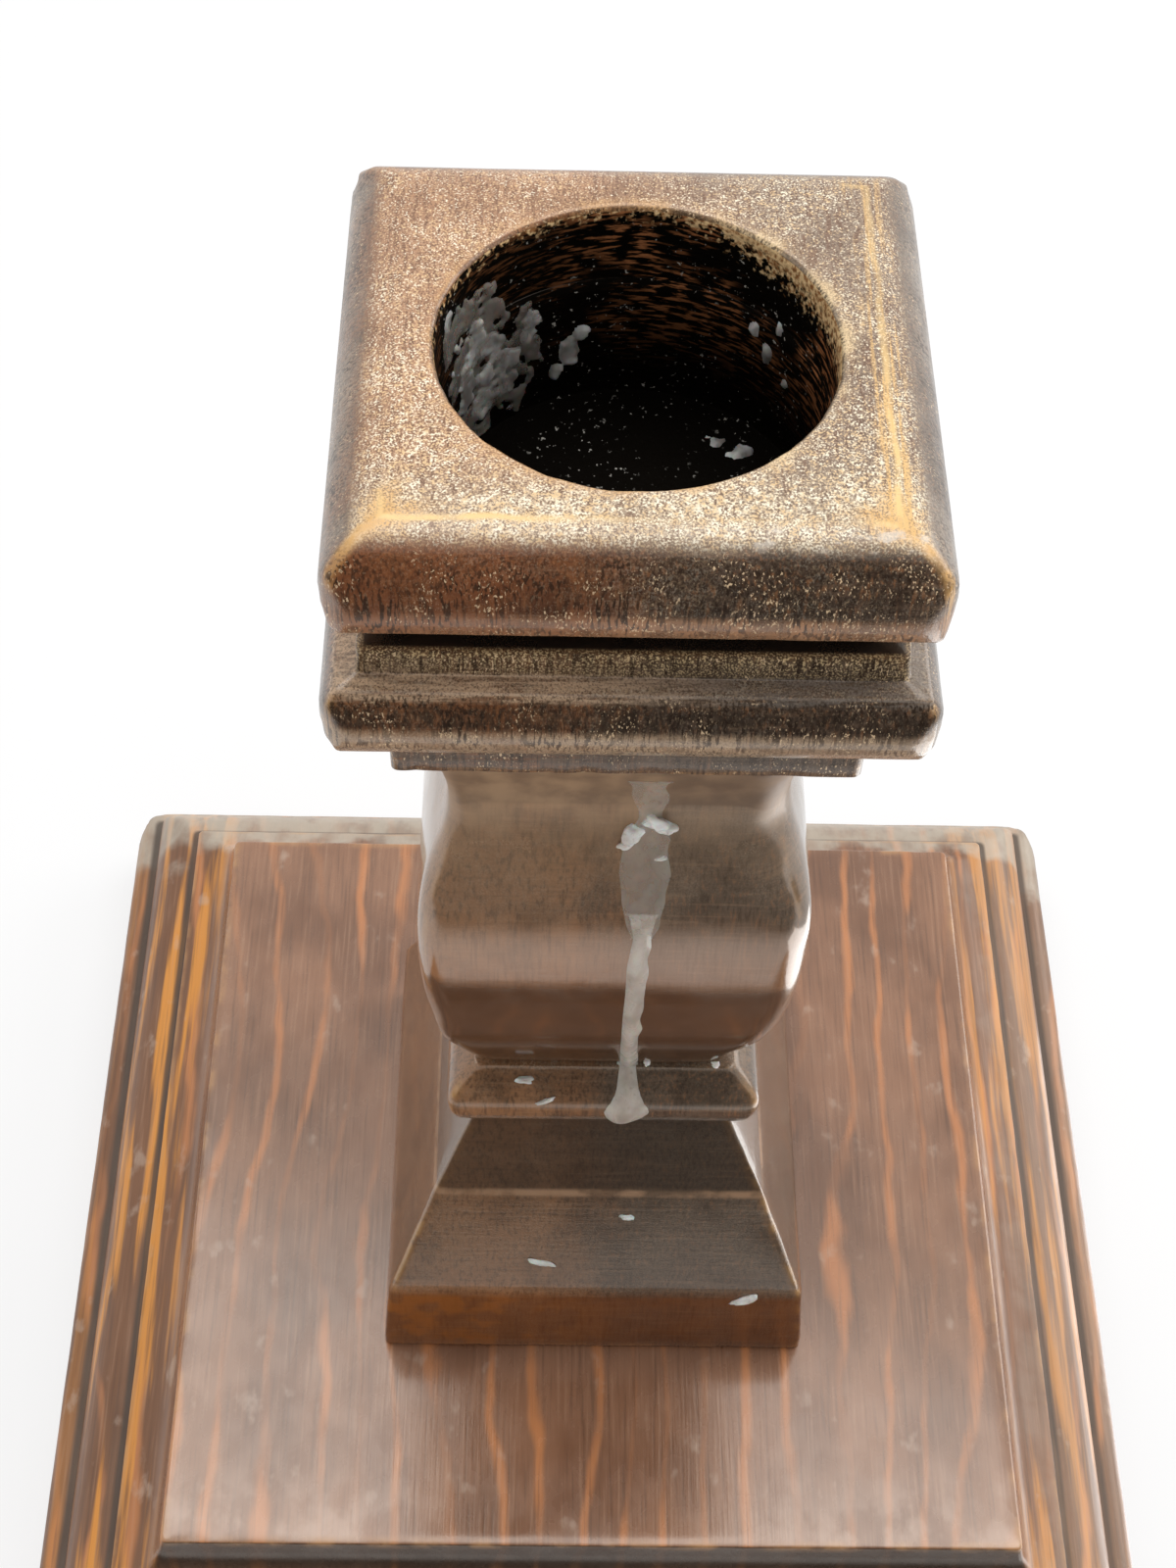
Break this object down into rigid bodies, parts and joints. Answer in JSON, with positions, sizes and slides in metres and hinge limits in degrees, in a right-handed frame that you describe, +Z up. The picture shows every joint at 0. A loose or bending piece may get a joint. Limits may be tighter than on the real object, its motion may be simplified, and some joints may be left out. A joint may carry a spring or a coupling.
{
  "type": "square wooden candlestick",
  "caption": "Low square candlestick of moulded, dark stained wood: a wide moulded base board carries a pyramid foot, a square baluster stem and a moulded block bored for a candle.",
  "frame": {"origin": "centre of the base board's underside, on the table", "axes": "+Z up along the stick's axis, +Y away from the viewer, +X to the viewer's right, square to the base's sides"},
  "size_m": [0.0884, 0.0884, 0.1106],
  "materials": {
    "board_wood": "dark stain with orange growth rings showing through, worn satin polish",
    "stick_wood": "dark brown stain, worn to tan on the arrises, dull wax polish",
    "dowel_wood": "plain beech dowel",
    "screw_steel": "dull slotted screw head"
  },
  "bodies": {
    "root": {"base_board": "board_wood", "foot_block": "stick_wood", "collar": "stick_wood", "stem": "stick_wood", "capital": "stick_wood", "socket_block": "stick_wood", "lower_dowel": "dowel_wood", "upper_dowel": "dowel_wood", "base_screw": "screw_steel"}
  },
  "joints": []
}
